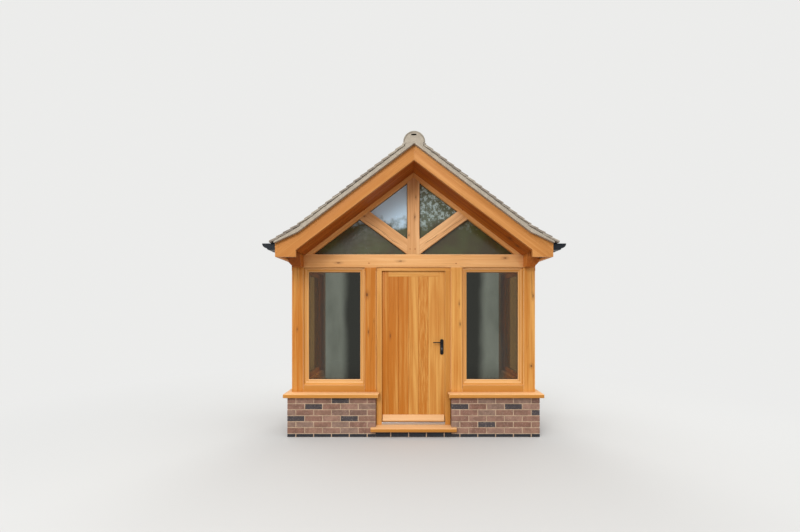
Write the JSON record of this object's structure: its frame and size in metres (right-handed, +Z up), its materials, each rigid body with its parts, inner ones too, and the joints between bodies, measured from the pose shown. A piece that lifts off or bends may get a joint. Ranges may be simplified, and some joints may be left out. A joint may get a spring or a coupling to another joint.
{
  "type": "oak-framed entrance porch",
  "caption": "Oak-framed entrance porch with a glazed king-post gable, brick plinth, side lights, a boarded door that opens inwards and a tiled pitched roof, cut off at the house wall.",
  "frame": {"origin": "ground level under the centre of the porch's overall box", "axes": "+X to the right seen from the garden, +Y towards the house wall, +Z up"},
  "size_m": [3.486, 1.85, 3.629],
  "materials": {
    "brick": "matte",
    "engineering_brick": "satin",
    "floor": "matte",
    "oak": "oiled",
    "door_oak": "oiled",
    "lining_boards": "oiled",
    "glass": "clear",
    "clay_tile": "matte",
    "mortar": "matte",
    "black_gutter": "satin",
    "weather_bar": "satin",
    "black_iron": "satin",
    "hinge_steel": "satin"
  },
  "bodies": {
    "porch": {"plinth_left": "brick", "plinth_right": "brick", "step_course": "engineering_brick", "floor_slab": "floor", "window_sill_left": "oak", "window_sill_right": "oak", "corner_post_left": "oak", "corner_post_right": "oak", "door_post_left": "oak", "door_post_right": "oak", "wall_posts": "oak", "bottom_rails": "oak", "window_frame_front_left": "oak", "window_frame_front_right": "oak", "window_frame_side_left": "oak", "window_frame_side_right": "oak", "window_glass": "glass", "tie_beam": "oak", "wall_plate_left": "oak", "wall_plate_right": "oak", "rafter_left": "oak", "rafter_right": "oak", "king_post": "oak", "struts": "oak", "gable_glass": "glass", "ridge_board": "lining_boards", "roof_deck_left": "lining_boards", "roof_deck_right": "lining_boards", "overhang_soffit": "lining_boards", "bargeboard_left": "oak", "bargeboard_right": "oak", "eaves_box_left": "oak", "eaves_box_right": "oak", "roof_tiles_left": "clay_tile", "roof_tiles_right": "clay_tile", "ridge_tiles": "clay_tile", "ridge_mortar": "mortar", "gutter_left": "black_gutter", "gutter_right": "black_gutter", "door_sill": "oak", "door_frame": "oak", "weather_bar": "weather_bar", "frame_hinges": "hinge_steel"},
    "door": {"door_leaf": "door_oak", "door_boards": "door_oak", "weatherboard": "door_oak", "handle_plates": "black_iron", "leaf_hinges": "hinge_steel"},
    "lever": {"lever": "black_iron"}
  },
  "joints": [
    {"name": "door_swing", "type": "hinge", "parent": "porch", "child": "door", "pos_m": [-0.4215, -0.3035, 1.128], "axis": [0, 0, 1], "range_deg": [0, 110]},
    {"name": "lever_turn", "type": "hinge", "parent": "door", "child": "lever", "pos_m": [0.362, -0.339, 1.183], "axis": [0, -1, 0], "range_deg": [0, 40], "stiffness_Nm_per_rad": 1.5}
  ]
}
